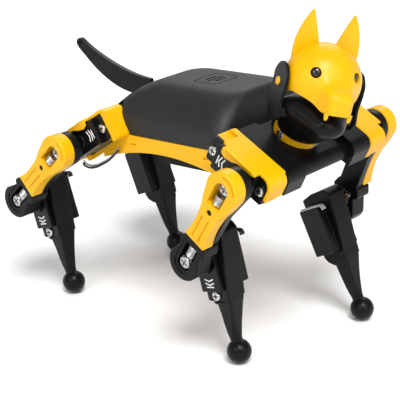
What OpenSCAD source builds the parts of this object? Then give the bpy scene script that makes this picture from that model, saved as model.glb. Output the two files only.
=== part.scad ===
// Palm-size quadruped robot dog: a torso on four two-servo legs, with a panning head and a tail.
// Frame: +X forward, +Y to the robot's left, +Z up, the feet on z = 0.

/* [Stance] */
// Distance between the front and rear hip axes
hip_base = 105; // [100:1:112]
// Height of the hip line above the ground, halfway along the torso
hip_height = 88.8; // [87:0.2:91]
// Nose-up tilt of the torso, degrees
torso_pitch = 4.2; // [2:0.2:5]
// Backward lean of the front right thigh, degrees
thigh_lean_fr = 31; // [24:1:36]
// Backward lean of the front left thigh, degrees
thigh_lean_fl = 20; // [16:1:30]
// Backward lean of the rear right thigh, degrees
thigh_lean_rr = 45; // [38:1:48]
// Backward lean of the rear left thigh, degrees
thigh_lean_rl = 42; // [36:1:48]
// Turn of the head to the robot's right, degrees
head_pan = 33; // [0:1:40]

/* [Legs] */
// Hip axis to knee axis
thigh_len = 46.6; // [45:0.2:48]
// Knee axis to the centre of the ball foot
shank_len = 48.9; // [48:0.2:51]
// Radius of the ball foot
foot_r = 5.7; // [5:0.1:6]
// Outer face of the thigh, from the torso's middle
thigh_face = 57; // [56:0.2:58]
// Radius of the yellow cap over the hip
thigh_cap_r = 8.4; // [8:0.1:9]
// Travel of each leg spring
spring_travel = 3; // [1:0.5:3]

/* [Torso] */
// Half width of the torso's side rails
rail_y = 32; // [31.6:0.1:32.4]
// Height of the flat top of the back cover above the hip line
cover_top = 28.5; // [26:0.5:30]
// Downward tilt of the servos towards their outer ends, degrees
servo_tilt = 30; // [28:1:32]
// Thickness of the torso's shells
shell = 1.8; // [1.6:0.1:2]

/* [Servos] */
// Length of the servo case
servo_l = 23; // [22.6:0.1:23.2]
// Width of the servo case
servo_w = 12; // [11.6:0.1:12.2]
// Output shaft to the nearer ear screw
ear_near = 7.7; // [7.6:0.1:7.8]
// Output shaft to the farther ear screw
ear_far = 20.6; // [20.5:0.1:20.7]
// Radius of the output spline
spline_r = 2.4; // [2.2:0.1:2.5]

/* [Head] */
// Radius of the skull
skull_r = 16; // [15:0.5:16.5]
// Eye to eye, centres
eye_gap = 18.3; // [17:0.1:19]
// Height of the ear tips above the neck
ear_tip_z = 54.2; // [48:0.2:56]

/* [Hidden] */
// Middle of the overall length, so that the origin is below it
origin_x = 5.6;
FRONT = 1;
REAR = -1;
RIGHT = -1;
LEFT = 1;
// name, end, side, thigh lean
LEGS = [
    ["fr", FRONT, RIGHT, thigh_lean_fr],
    ["fl", FRONT, LEFT, thigh_lean_fl],
    ["rr", REAR, RIGHT, thigh_lean_rr],
    ["rl", REAR, LEFT, thigh_lean_rl],
];
TORSO_NODES = [
    "body_frame", "back_cover", "chest_cover", "controller_board", "battery_pack",
    "battery_button", "battery_lead", "servo_leads", "neck_servo", "torso_screws", "tail",
];
HEAD_NODES = ["neck_bracket", "head_jaw", "head_mask", "eyes", "head_screws"];
LEG_NODES = [
    "hip_servo", "hip_arm", "hip_spring", "thigh_cover", "thigh_frame",
    "knee_arm", "knee_spring", "shank", "knee_servo", "knee_lead", "leg_screws",
];

YELLOW = "#f5b800";
BLACK = "#202123";
SERVO_BLACK = "#18191a";
STEEL = "#b9bcc0";
round_fn = 64;
blend_fn = 32;
small_fn = 24;

// Distances from the torso's middle plane, outward along a servo's shaft
case_in = 24.4;
case_out = 43;
tower_out = 44.8;
spline_out = 48.4;
ear_in = 38;
ear_out = 40.2;
arm_in = 45.1;
arm_out = 54.7;
frame_in = 46;
frame_out = 50.3;
cover_in = 50.4;
knee_face = 55.5;
foot_y = 34.8;
post_out = ear_in - 0.1;
wall_in = rail_y - 2.6;
pod_wall_in = wall_in - 0.3;
// Lengths along a servo, from its shaft
case_near = 5.05;
case_far = servo_l - case_near;
ear_margin = 2.65;
ear_hole_r = 1;
case_gap = 0.3;
// Slots for the sprung arms
arm_r = 3.3;
slot_r = 3.6;
hip_slot_end = 9.5;
knee_slot_top = 10.6;
spring_r = 2.9;
spring_hole_r = 1.3;

// ---------- placing ----------

function turn_y(p, a) = [p[0] * cos(a) + p[2] * sin(a), p[1], -p[0] * sin(a) + p[2] * cos(a)];
function in_row(p) = turn_y(p, -torso_pitch) + [origin_x, 0, hip_height];
function hip_point(leg) = in_row([leg[1] * hip_base / 2, 0, 0]);
function knee_height(leg) = hip_point(leg)[2] - thigh_len * cos(leg[3]);
// Forward lean that puts the ball foot on the ground
function shank_lean(leg) = acos((knee_height(leg) - foot_r) / shank_len);

module in_torso() {
    translate([origin_x, 0, hip_height])
        rotate([0, -torso_pitch, 0])
            children();
}

// Right-hand parts are drawn, and mirrored for the left side
module on_side(side) {
    mirror([0, side == LEFT ? 1 : 0, 0])
        children();
}

// Servo frame at a hip: +X towards the servo's far end, +Z across it, the shaft along -Y
module at_hip_servo(leg) {
    in_torso()
        mirror([leg[1] == FRONT ? 1 : 0, 0, 0])
            on_side(leg[2])
                translate([-hip_base / 2, 0, 0])
                    rotate([0, -servo_tilt, 0])
                        children();
}

// Thigh frame: the hip axis at the origin, the knee towards -Z
module at_thigh(leg) {
    translate(hip_point(leg))
        on_side(leg[2])
            rotate([0, leg[3], 0])
                children();
}

// Shank frame: the knee axis at the origin, the foot towards -Z
module at_shank(leg) {
    at_thigh(leg)
        translate([0, 0, -thigh_len])
            rotate([0, -leg[3] - shank_lean(leg), 0])
                children();
}

neck_x = 48;
neck_z = 11.5;
// Upward tilt of the head on its neck
head_tilt = 22;

// Neck frame: +Z along the pan axis, +X forward
module at_neck() {
    in_torso()
        translate([neck_x, 0, neck_z])
            rotate([0, servo_tilt, 0])
                children();
}

module at_panned_neck() {
    at_neck()
        rotate([0, 0, -head_pan])
            children();
}

module at_head() {
    at_panned_neck()
        rotate([0, -head_tilt, 0])
            children();
}

// ---------- shared shapes ----------

// Extrudes an X-Z outline between two distances from the middle, on the right-hand side
module slab(y0, y1) {
    translate([0, -y0, 0])
        rotate([90, 0, 0])
            linear_extrude(y1 - y0)
                children();
}

module both_sides() {
    children();
    mirror([0, 1, 0])
        children();
}

// A shaft or hole along -Y between two distances from the middle
module rod(r, y0, y1, fn = round_fn) {
    translate([0, -y0, 0])
        rotate([90, 0, 0])
            cylinder(r = r, h = y1 - y0, $fn = fn);
}

// Cross-head screw along -Y: the head ends at y1, and a stem of length stem runs inward
module screw(r, y1, head_h, stem_r, stem) {
    recess = r * 0.5;
    recess_w = r * 0.32;
    difference() {
        rod(r, y1 - head_h, y1, small_fn);
        for (w = [[r * 1.2, recess_w], [recess_w, r * 1.2]])
            translate([-w[0] / 2, -y1 - 0.1, -w[1] / 2])
                cube([w[0], recess + 0.1, w[1]]);
    }
    if (stem > 0)
        rod(stem_r, y1 - head_h - stem, y1 - head_h, small_fn);
}

// Micro servo with its shaft along -Y at the origin and its long side along +X
module servo() {
    tower_r = 5.9;
    idler_x = 6.4;
    idler_r = 2.9;
    difference() {
        union() {
            translate([-case_near, -case_out, -servo_w / 2])
                cube([servo_l, case_out - case_in, servo_w]);
            translate([-ear_near - ear_margin, -ear_out, -servo_w / 2])
                cube([ear_near + ear_far + 2 * ear_margin, ear_out - ear_in, servo_w]);
            rod(tower_r, case_out - 1, tower_out);
            translate([idler_x, 0, 0])
                rod(idler_r, case_out - 1, tower_out);
        }
        for (x = [-ear_near, ear_far])
            translate([x, 0, 0])
                rod(ear_hole_r, ear_in - 1, ear_out + 1, small_fn);
    }
    rod(spline_r, tower_out - 1, spline_out);
}

// Coil spring drawn as a ribbed sleeve from z0 to z1, around the line at distance y
module coil_spring(z0, z1, y) {
    turns = 4;
    pitch = (z1 - z0) / turns;
    wire_r = 0.5;
    sleeve_r = spring_r - wire_r;
    translate([0, -y, z0])
        rotate_extrude($fn = round_fn) {
            translate([spring_hole_r, 0])
                square([sleeve_r - spring_hole_r, z1 - z0]);
            for (i = [0:turns - 1])
                translate([sleeve_r, pitch * (i + 0.5)])
                    circle(r = wire_r, $fn = small_fn);
        }
}

// Tube through a list of points
function unit(v) = v / norm(v);
function tangent(pts, i) = unit(pts[min(i + 1, len(pts) - 1)] - pts[max(i - 1, 0)]);
function side_of(t) = unit(cross(t, abs(t[1]) > 0.9 ? [1, 0, 0] : [0, 1, 0]));
function ring(p, t, r, n) = [
    for (k = [0:n - 1])
        p + r * (cos(360 * k / n) * side_of(t) + sin(360 * k / n) * cross(t, side_of(t)))
];

module tube(pts, r) {
    sides = 8;
    last = len(pts) - 1;
    skin = [for (i = [0:last]) each ring(pts[i], tangent(pts, i), r, sides)];
    walls = [
        for (i = [0:last - 1], k = [0:sides - 1])
            [i * sides + k, i * sides + (k + 1) % sides, (i + 1) * sides + (k + 1) % sides, (i + 1) * sides + k]
    ];
    ends = [
        [for (k = [sides - 1:-1:0]) k],
        [for (k = [0:sides - 1]) last * sides + k],
    ];
    polyhedron(points = skin, faces = concat(walls, ends));
}

// ---------- torso ----------

// Lower edge of the side rail: a shallow arch
arch_middle = -5;
arch_crown = -0.6;
arch_bend = 0.0042;
function arch_z(x) = arch_crown - arch_bend * pow(x - arch_middle, 2);

rail_front = 34;
rail_rear = -45;
rail_top = 6.2;
pod_end = 26.5;
pod_low = -8;
strip_in = 29.7;
strip_out = 41;
strip_top = 8.2;
strip_nose_low = -2.2;
nose_r = 3;
nose_x = -9.4;
nose_z = strip_top - nose_r;

module rail_outline() {
    steps = 12;
    step = (rail_front - rail_rear) / steps;
    polygon(concat(
        [[rail_front, 2], [25, rail_top], [-31, rail_top], [rail_rear, -1]],
        [for (i = [0:steps]) [rail_rear + i * step, arch_z(rail_rear + i * step)]]
    ));
}

// Side wall behind a hip servo, in the servo's frame
module pod_wall_outline(end) {
    polygon([
        [-11.2, pod_low + 4], [-9, pod_low], [end, pod_low],
        [end, strip_top - 2], [end - 2, strip_top - 0.1], [-9, strip_top - 0.1],
    ]);
}

// A top face that rounds over into a front face, in the servo's frame
module nose_outline(inset, low, back, r = nose_r) {
    x = nose_x - nose_r + inset + r;
    z = nose_z + nose_r - inset - r;
    translate([x, low])
        square([back - x, z + r - low]);
    translate([x, z])
        circle(r = r, $fn = round_fn);
    translate([x - r, low])
        square([r + 1, z - low]);
}

// Strip over the servo, whose outer end curves down in front of it
module pod_strip_outline(inner_end) {
    wall = 1.6;
    difference() {
        nose_outline(0, strip_nose_low, inner_end);
        nose_outline(wall, strip_nose_low - 1, inner_end + 1, nose_r - wall);
    }
}

// Lip of the strip that folds down outside the servo, between its ears
module strip_lip() {
    lip_in = case_out + 0.2;
    lip_out = case_out + 1.3;
    x0 = -5;
    x1 = 14.8;
    translate([x0, -lip_out, strip_top - 1.5])
        cube([x1 - x0, lip_out - strip_out + 0.5, 1.4]);
    slab(lip_in, lip_out)
        polygon([[x0, 6.8], [-3, 6.1], [5, 6.1], [8, 4.8], [12, 3.9], [x1, 5], [x1, 8], [x0, 8]]);
}

module ear_post(x0, x1) {
    translate([x0, -post_out, -servo_w / 2])
        cube([x1 - x0, post_out - wall_in, servo_w]);
}

// A rear pod's inner post is wrapped by a surround that flows into the rail
module pod(is_rear) {
    post_end = ear_far + ear_margin;
    slab(pod_wall_in, rail_y)
        pod_wall_outline(is_rear ? pod_end : post_end);
    slab(strip_in, strip_out)
        pod_strip_outline(is_rear ? post_end + 1 : 17.2);
    strip_lip();
    ear_post(case_far + 0.4, post_end - 0.1);
    ear_post(-ear_near - ear_margin, -case_near - case_gap - 0.1);
    if (is_rear)
        slab(wall_in + 0.5, ear_out - 0.2)
            polygon([
                [post_end + 0.1, pod_low + 0.2], [pod_end - 0.2, pod_low + 0.2],
                [pod_end - 0.2, strip_top - 2], [pod_end - 2, strip_top - 0.2],
                [post_end + 0.1, strip_top - 0.2],
            ]);
}

// The servo's opening through the side wall, and its screws' pilot holes
module pod_cuts() {
    translate([-case_near - case_gap, -case_out, -servo_w / 2 - case_gap])
        cube([servo_l + 2 * case_gap, case_out - case_in + 1, servo_w + 2 * case_gap]);
    for (x = [-ear_near, ear_far])
        translate([x, 0, 0])
            rod(0.7, rail_y, ear_in + 1, small_fn);
}

module at_each_pod() {
    for (end = [REAR, FRONT])
        mirror([end == FRONT ? 1 : 0, 0, 0])
            translate([-hip_base / 2, 0, 0])
                rotate([0, -servo_tilt, 0])
                    children(end == FRONT ? 1 : 0);
}

board_post_x = 24;
board_post_y = 17;
board_z = 9;

module body_frame() {
    floor_z = -0.5;
    floor_h = 1.8;
    floor_front = 30;
    floor_rear = -44;
    floor_wide = -38.5;
    color(YELLOW)
        in_torso() {
            both_sides()
                difference() {
                    union() {
                        slab(wall_in, rail_y)
                            rail_outline();
                        at_each_pod() {
                            pod(true);
                            pod(false);
                        }
                    }
                    at_each_pod() {
                        pod_cuts();
                        pod_cuts();
                    }
                }
            difference() {
                union() {
                    translate([floor_rear, -case_in + 0.4, floor_z])
                        cube([floor_front - floor_rear, 2 * case_in - 0.8, floor_h]);
                    // Full width between the servos
                    translate([floor_wide, -rail_y + 1, floor_z])
                        cube([floor_front - floor_wide, 2 * rail_y - 2, floor_h]);
                    for (x = [-1, 1], y = [-1, 1])
                        translate([x * board_post_x, y * board_post_y, floor_z])
                            cylinder(r = 2.4, h = board_z - floor_z, $fn = blend_fn);
                    // Rear post that holds the root of the tail
                    translate([-46, -4, floor_z])
                        cube([8, 8, tail_post_top - floor_z]);
                }
                for (x = [-1, 1], y = [-1, 1])
                    translate([x * board_post_x, y * board_post_y, 2])
                        cylinder(r = 0.8, h = board_z, $fn = small_fn);
                translate([-47, -1.15, tail_root_low])
                    cube([8, 2.3, 30]);
            }
        }
}

tail_post_top = 17.6;
tail_root_low = 7;

cover_front = 31;
cover_rear = -38;

// One rounded level of the back cover
module cover_level(x0, x1, half_y, r, z) {
    for (x = [x0 + r, x1 - r], y = [-half_y + r, half_y - r])
        translate([x, y, z])
            cylinder(r = r, h = 0.2, $fn = blend_fn);
}

module cover_solid(t) {
    hull() {
        cover_level(cover_rear + t, cover_front - t, rail_y - t, 4, rail_top + 0.3);
        cover_level(cover_rear - 4 + t, cover_front - t, rail_y - 0.6 - t, 4.5, 14.4);
        cover_level(-34 + t, 30 - t, 24.5 - t, 7, 22 - t);
        cover_level(-24 + t, 27.5 - t, 16.5 - t, 7, cover_top - 1 - t);
        cover_level(-21 + t, 26 - t, 14 - t, 6, cover_top - 0.2 - t);
    }
}

module back_cover() {
    color(BLACK)
        in_torso()
            difference() {
                cover_solid(0);
                difference() {
                    cover_solid(shell);
                    translate([-50, -50, -50])
                        cube([100, 100, 50 + rail_top - 1]);
                }
                translate([-50, -50, rail_top - 50 + 0.3])
                    cube([100, 100, 50]);
                // Notch for the tail post
                translate([cover_rear - 8, -4.6, rail_top])
                    cube([8, 9.2, tail_post_top + 0.4 - rail_top]);
                // Room for the rear pods
                both_sides()
                    translate([-hip_base / 2, 0, 0])
                        rotate([0, -servo_tilt, 0])
                            translate([-20, -rail_y - 20, -20])
                                cube([20 + pod_end + 0.2, rail_y + 20 - case_in + 0.3, 20 + strip_top + 0.2]);
            }
}

// Front cover between the two front pods: its two flanges follow them, and its middle is sunk
chest_y = strip_in - 0.7;
chest_flange_y = 17;
chest_recess = 2.4;
chest_back = 20.5;
neck_well_r = 11.6;

module chest_block(y0, y1, inset, low, back) {
    slab(y0, y1)
        nose_outline(inset, low, back);
}

module chest_cover() {
    outer_low = strip_nose_low - 0.5;
    top_gap = 0.3;
    color(BLACK)
        difference() {
            in_torso()
                translate([hip_base / 2, 0, -top_gap])
                    mirror([1, 0, 0])
                        rotate([0, -servo_tilt, 0])
                            both_sides()
                                difference() {
                                    union() {
                                        chest_block(-1, chest_flange_y + 0.5, chest_recess, 0.4, chest_back);
                                        chest_block(chest_flange_y, chest_y, 0, outer_low, chest_back);
                                    }
                                    chest_block(
                                        -2, chest_flange_y + 0.1, chest_recess + shell, outer_low - 1, chest_back + 1);
                                    chest_block(
                                        chest_flange_y + shell, chest_y + 1, 1.5, outer_low - 1, chest_back + 1);
                                }
            at_neck() {
                translate([0, 0, -9])
                    cylinder(r = neck_well_r, h = 16, $fn = round_fn);
                // Room for the ends of the neck servo
                translate([-servo_w / 2 - case_gap, -11, -12])
                    cube([servo_w + 2 * case_gap, 35, 6.2]);
            }
        }
}

module controller_board() {
    chips = [
        [-6, -6, 12, 12, 1.6],
        [-24, -4, 9, 8, 3.2],
        [12, -11, 6, 8, 1.4],
        [12, 3, 5, 5, 1.2],
        [-10, 15, 22, 5, 6],
        [-10, -20, 22, 5, 6],
    ];
    board_x = 56;
    board_y = 44;
    board_h = 1.6;
    color("#1d5c3a")
        in_torso()
            translate([0, 0, board_z])
                difference() {
                    union() {
                        translate([-board_x / 2, -board_y / 2, 0])
                            cube([board_x, board_y, board_h]);
                        for (c = chips)
                            translate([c[0], c[1], board_h - 0.1])
                                cube([c[2], c[3], c[4] + 0.1]);
                    }
                    for (x = [-1, 1], y = [-1, 1])
                        translate([x * board_post_x, y * board_post_y, -1])
                            cylinder(r = 1.1, h = 4, $fn = small_fn);
                }
}

battery_rear = -22;
battery_front = 24;
battery_y = 20;
battery_low = -9.4;
battery_top = -0.6;
button_x = -12;
button_r = 2.5;
button_travel = 1;

module battery_pack() {
    corner = 3;
    color(BLACK)
        in_torso()
            difference() {
                translate([0, battery_y, 0])
                    rotate([90, 0, 0])
                        linear_extrude(2 * battery_y)
                            polygon([
                                [battery_rear, battery_low + corner], [battery_rear + corner, battery_low],
                                [battery_front - corner, battery_low], [battery_front, battery_low + corner],
                                [battery_front, battery_top], [battery_rear, battery_top],
                            ]);
                translate([button_x, 0, battery_low - 1])
                    cylinder(r = button_r + 0.2, h = 4.2, $fn = blend_fn);
            }
}

module battery_button() {
    color("#c8c8c8")
        in_torso()
            translate([button_x, 0, battery_low - 1.2])
                cylinder(r = button_r, h = 3.2, $fn = blend_fn);
}

module battery_lead() {
    route = [
        [-22.05, -12, -4.5], [-24.5, -12.2, -4.8], [-28, -13, -6], [-32, -14.2, -7.2],
        [-36, -15.6, -7.4], [-40, -17, -6], [-42.6, -17.8, -3.4], [-43, -18, -0.6],
    ];
    color("#5a1416")
        in_torso()
            for (y = [0, 2.1])
                tube([for (p = route) p + [0, y, 0]], 0.95);
}

// Lead of each rear hip servo, from the pod's outer post back to the rail
module servo_leads() {
    route = [
        [-55.6, -36.2, -10.2], [-55, -36, -11.6], [-52, -35.6, -12.4], [-48, -35.2, -11.6],
        [-44, -34.8, -9.8], [-40, -34.4, -7.6], [-36.6, -34, -5], [-34.4, -33.5, -2.8], [-33, -33, -1.4],
    ];
    color(BLACK)
        in_torso()
            both_sides()
                tube(route, 0.8);
}

// Turned so that its shaft is the pan axis, with its long side across the torso
module neck_servo() {
    spline_top = -0.7;
    color(SERVO_BLACK)
        at_neck()
            translate([0, 0, spline_top - spline_out])
                rotate([0, 0, 90])
                    rotate([-90, 0, 0])
                        servo();
}

module torso_screws() {
    color(STEEL)
        for (leg = LEGS)
            at_hip_servo(leg)
                for (x = [-ear_near, ear_far])
                    translate([x, 0, 0])
                        screw(2.2, ear_out + 1.3, 1.2, 0.65, 4.5);
}

// Tail blade along a quadratic curve, with a hole near its tip
tail_root = [-41, 19.6];
tail_bend = [-66, 18.5];
tail_tip = [-89.6, 37.2];
tail_half_w = 4;
tail_hole_r = 1.2;
function tail_at(t) = pow(1 - t, 2) * tail_root + 2 * t * (1 - t) * tail_bend + t * t * tail_tip;
function tail_dir(t) = unit((1 - t) * (tail_bend - tail_root) + t * (tail_tip - tail_bend));
function tail_w(t) = t < 0.5 ? tail_half_w : tail_half_w - 1.7 * pow((t - 0.5) * 2, 2);
function tail_side(t, s) = tail_at(t) + s * tail_w(t) * [-tail_dir(t)[1], tail_dir(t)[0]];

module tail() {
    steps = 16;
    thickness = 2.2;
    tip_r = tail_w(1) + 0.2;
    root_rear = -45.6;
    root_l = 6.4;
    root_h = 15.6;
    color(BLACK)
        in_torso()
            difference() {
                union() {
                    slab(-thickness / 2, thickness / 2)
                        polygon(concat(
                            [for (i = [0:steps]) tail_side(i / steps, 1)],
                            [for (i = [steps:-1:0]) tail_side(i / steps, -1)]
                        ));
                    translate([tail_tip[0], 0, tail_tip[1]])
                        rod(tip_r, -thickness / 2, thickness / 2, blend_fn);
                    slab(-thickness / 2, thickness / 2)
                        translate([root_rear, tail_root_low + 0.2])
                            square([root_l, root_h]);
                }
                translate([tail_tip[0], 0, tail_tip[1]])
                    rod(tail_hole_r, -thickness, thickness, blend_fn);
            }
}

// ---------- head ----------

bracket_r = 10.2;
bracket_low = -4;
bracket_top = 1.4;
jaw_base = 1.5;
// Bearing of the bracket's screws, from straight ahead
bracket_screw_at = 64;
cheek_x = 9.6;
cheek_z = 22;
cheek_disc = [10.5, 23.6];
cheek_r = 7.2;
cheek_in = 17.1;
cheek_out = 18.4;
pin_r = 1.9;
pin_gap = 0.08;

module neck_bracket() {
    color(YELLOW)
        at_panned_neck()
            difference() {
                translate([0, 0, bracket_low])
                    cylinder(r = bracket_r, h = bracket_top - bracket_low, $fn = round_fn);
                translate([0, 0, bracket_low - 1])
                    cylinder(r = spline_r + 0.05, h = 4.6, $fn = round_fn);
                at_bracket_screws()
                    rod(0.75, 5, bracket_r + 1, small_fn);
            }
}

module at_bracket_screws() {
    for (bearing = [-bracket_screw_at, bracket_screw_at])
        rotate([0, 0, bearing + 90])
            translate([0, 0, -1.1])
                children();
}

// Lower head: a rounded jaw with two upright arms that carry the mask's pivots
module head_jaw() {
    color(BLACK)
        at_head()
            difference() {
                union() {
                    hull() {
                        translate([14, 0, 12.2])
                            scale([1, 1.42, 0.72])
                                sphere(r = 11, $fn = blend_fn);
                        translate([27, 0, 9.2])
                            scale([1, 1.25, 0.8])
                                sphere(r = 6.4, $fn = blend_fn);
                        for (y = [-1, 1])
                            translate([12, y * 14.6, 13.6])
                                sphere(r = 2.2, $fn = small_fn);
                        rotate([0, head_tilt, 0])
                            translate([2, 0, jaw_base - 0.5])
                                cylinder(r = 10.4, h = 1.5, $fn = blend_fn);
                    }
                    both_sides() {
                        slab(cheek_in, cheek_out)
                            translate(cheek_disc)
                                circle(r = cheek_r, $fn = round_fn);
                        slab(cheek_in, cheek_out)
                            polygon([
                                [cheek_disc[0] - cheek_r, cheek_disc[1]], [3.2, 15], [3.8, 10], [7, 6],
                                [13, 5.2], [18, 8], [16, 14], [cheek_disc[0] + cheek_r, cheek_disc[1]],
                            ]);
                        slab(13.5, cheek_out - 0.1)
                            polygon([[5.4, 12], [6.4, 8.4], [10, 6.5], [16, 7.8], [16.4, 12]]);
                    }
                }
                both_sides()
                    translate([cheek_x, 0, cheek_z])
                        rod(pin_r + pin_gap, 14, 21);
                // Flat underside that sits on the neck bracket, square to the neck
                rotate([0, head_tilt, 0])
                    translate([-40, -40, jaw_base - 40])
                        cube([80, 80, 40]);
            }
}

// Wavy lower edge of the mask, seen from the side, closed far below it
module below_mask_outline() {
    polygon([
        [-10, 23.5], [12.5, 23.5], [14.5, 20.6], [21, 20.2], [27, 18.4], [31, 16.8],
        [34, 16.2], [45, 16.2], [45, -20], [-10, -20],
    ]);
}

module mask_solid(t) {
    translate([13, 0, 25.5])
        scale([1, 1.05, 1])
            sphere(r = skull_r - t, $fn = 48);
    hull() {
        translate([18.5, 0, 24.5])
            scale([0.5, 1, 0.95])
                sphere(r = 12.6 - t, $fn = blend_fn);
        for (y = [-1, 1], z = [17.4 + t / 2, 22.9 - t / 2])
            translate([35.2 - t, y * 3.2, z])
                sphere(r = 2.2 - t / 2, $fn = small_fn);
    }
}

module ear() {
    hull() {
        translate([9.2, -9.5, ear_tip_z - 0.9])
            sphere(r = 0.9, $fn = small_fn);
        translate([9.2, -13, 45])
            sphere(r = 1.1, $fn = small_fn);
        translate([9.2, -13.8, 33])
            scale([2, 1, 1])
                sphere(r = 1.6, $fn = small_fn);
        translate([10.6, -6.4, 38.4])
            scale([2, 1, 1])
                sphere(r = 1.6, $fn = small_fn);
    }
}

module head_mask() {
    eye_z = 30.7;
    color(YELLOW)
        at_head() {
            difference() {
                union() {
                    mask_solid(0);
                    both_sides()
                        ear();
                }
                mask_solid(1.6);
                slab(-30, 30)
                    below_mask_outline();
                translate([-20, -30, 0])
                    cube([23, 60, 60]);
                for (y = [-1, 1])
                    translate([24.3, y * eye_gap / 2, eye_z])
                        rotate([0, 90, y * 38])
                            translate([0, 0, -6])
                                cylinder(r = 2.3, h = 12, $fn = blend_fn);
            }
            both_sides() {
                // Pivot pins through the cheek discs, on bosses inside the mask
                translate([cheek_x, 0, cheek_z])
                    rod(pin_r, 13.4, cheek_out + 0.6);
                slab(13.2, cheek_in - 0.3)
                    polygon([
                        [cheek_x - 3.4, cheek_z], [cheek_x - 2, cheek_z - 2.6], [cheek_x + 2, cheek_z - 2.6],
                        [cheek_x + 3.4, cheek_z], [cheek_x + 3.4, cheek_z + 5], [cheek_x - 3.4, cheek_z + 5],
                    ]);
                // Fang
                translate([34.4, -5, 16.8])
                    rotate([180, 0, 0])
                        cylinder(r = 0.8, h = 3, $fn = small_fn);
            }
        }
}

module eyes() {
    color("#101114")
        at_head()
            for (y = [-1, 1])
                translate([20.9, y * 6.6, 29.6])
                    sphere(r = 2.9, $fn = blend_fn);
}

module head_screws() {
    color(STEEL)
        at_panned_neck()
            at_bracket_screws()
                screw(2, bracket_r + 1, 1, 0.7, 3);
}

// ---------- legs ----------

module hip_servo() {
    color(SERVO_BLACK)
        servo();
}

// Yellow shell of the thigh, with the window over the sprung arm
module thigh_cover_outline() {
    circle(r = thigh_cap_r, $fn = round_fn);
    polygon([
        [-8.1, -2.2], [-6.4, -9], [-5, -15], [-4.7, -22], [-5.2, -28], [-6, -31.6],
        [6, -31.6], [5.2, -28], [4.7, -22], [5, -15], [6.4, -9], [8.1, -2.2],
    ]);
}

module hip_slot(y0, y1) {
    rod(slot_r, y0, y1, blend_fn);
    slab(y0, y1)
        translate([-slot_r, -hip_slot_end])
            square([2 * slot_r, hip_slot_end]);
}

module thigh_cover() {
    color(YELLOW)
        difference() {
            slab(cover_in, thigh_face)
                thigh_cover_outline();
            hip_slot(cover_in - 1, thigh_face + 1);
            translate([0, 0, -13.2])
                rod(1.4, cover_in - 1, thigh_face + 1, blend_fn);
            // Two shallow grooves along the shin of the cover
            for (x = [-1.9, 1.9])
                translate([x - 0.5, -thigh_face - 0.1, -30])
                    cube([1, 0.7, 13]);
        }
}

module knee_slot(y0, y1) {
    rod(slot_r, y0, y1, blend_fn);
    slab(y0, y1)
        translate([-slot_r, 0])
            square([2 * slot_r, knee_slot_top]);
}

// Black half of the thigh: a flat beam with the D-shaped knee end
module thigh_frame() {
    knee_r = 8.4;
    beam_half = 5.2;
    color(BLACK)
        difference() {
            union() {
                rod(thigh_cap_r - 0.4, frame_in, frame_out);
                slab(frame_in, frame_out)
                    polygon([
                        [-7.8, -2], [-beam_half, -15], [-beam_half, -34],
                        [beam_half, -34], [beam_half, -15], [7.8, -2],
                    ]);
                translate([0, 0, -thigh_len]) {
                    rod(knee_r, frame_in, knee_face);
                    slab(frame_in, knee_face)
                        polygon([
                            [-knee_r, 0], [-knee_r, 8.2], [-5.9, 14.6], [5.9, 14.6], [knee_r, 8.2], [knee_r, 0],
                        ]);
                }
            }
            hip_slot(frame_in - 1, frame_out + 1);
            translate([0, 0, -thigh_len])
                knee_slot(frame_in - 1, knee_face + 1);
        }
}

// Servo horn that slides in a slot of the thigh against its spring
module sprung_arm() {
    difference() {
        rod(arm_r, arm_in, arm_out - 0.9);
        rod(spline_r + 0.05, arm_in - 1, spline_out + 0.1);
    }
    screw(2, arm_out, 0.9, 0.7, 0);
}

module hip_arm() {
    color(STEEL)
        sprung_arm();
}

module knee_arm() {
    color(STEEL)
        translate([0, 0, -thigh_len])
            sprung_arm();
}

spring_y = 52.2;

module hip_spring() {
    color("silver")
        coil_spring(-hip_slot_end + 0.05, -arm_r - 0.1, spring_y);
}

module knee_spring() {
    color("silver")
        translate([0, 0, -thigh_len])
            coil_spring(arm_r + 0.1, knee_slot_top - 0.05, spring_y - 1);
}

beam_in = 29.5;
beam_out = 40.5;

// Lower leg: a bracket around the knee servo that tapers to the ball foot
module shank() {
    seat = -case_far - case_gap - 0.1;
    front = servo_w / 2 + case_gap;
    color(BLACK)
        difference() {
            union() {
                slab(beam_in, beam_out)
                    polygon([
                        [front, 5.4], [-6, 5.4], [-6, 9.5], [0, 11.2], [9, 11.6], [11.4, 8.5],
                        [9.7, -5], [7.4, -18], [6.8, -23], [-1.6, -24.8], [-4.8, -22.6], [-6.2, -20],
                        [-6.2, seat], [front, seat],
                    ]);
                hull() {
                    slab(beam_in + 0.6, beam_out - 0.6)
                        polygon([[6.9, -22], [-2.4, -22], [-1.6, -24.6], [6.6, -24.6]]);
                    translate([0, 0, -shank_len + 5.4])
                        rod(2.9, foot_y - 3.1, foot_y + 3.1, blend_fn);
                }
                translate([0, -foot_y, -shank_len])
                    sphere(r = foot_r, $fn = round_fn);
            }
            // Seats for the servo's ears and their screws
            for (z = [-ear_far, ear_near]) {
                translate([0, 0, z])
                    rod(0.7, beam_in - 1, beam_out + 1, small_fn);
                translate([-8, -beam_out - 1, z - ear_margin - 0.4])
                    cube([8 + front, beam_out + 1 - post_out, 2 * ear_margin + 0.8]);
            }
        }
}

module knee_servo() {
    color(SERVO_BLACK)
        rotate([0, 90, 0])
            servo();
}

// Flat lead of the knee servo, folded over the top of the case into its plug
module knee_lead() {
    color("#8c8f94")
        difference() {
            slab(22, 27.5)
                polygon([
                    [-4.6, 5.15], [8.4, 5.15], [8.4, 1.2], [9.6, 1.2], [9.6, 6.4], [-4.6, 6.4],
                ]);
            slab(24.6, 24.9)
                translate([-5, 5.6])
                    square([20, 2]);
        }
}

module leg_screws() {
    color(STEEL)
        for (z = [-ear_far, ear_near])
            translate([0, 0, z])
                screw(2.2, ear_out + 1.3, 1.2, 0.65, 6);
}

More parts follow.
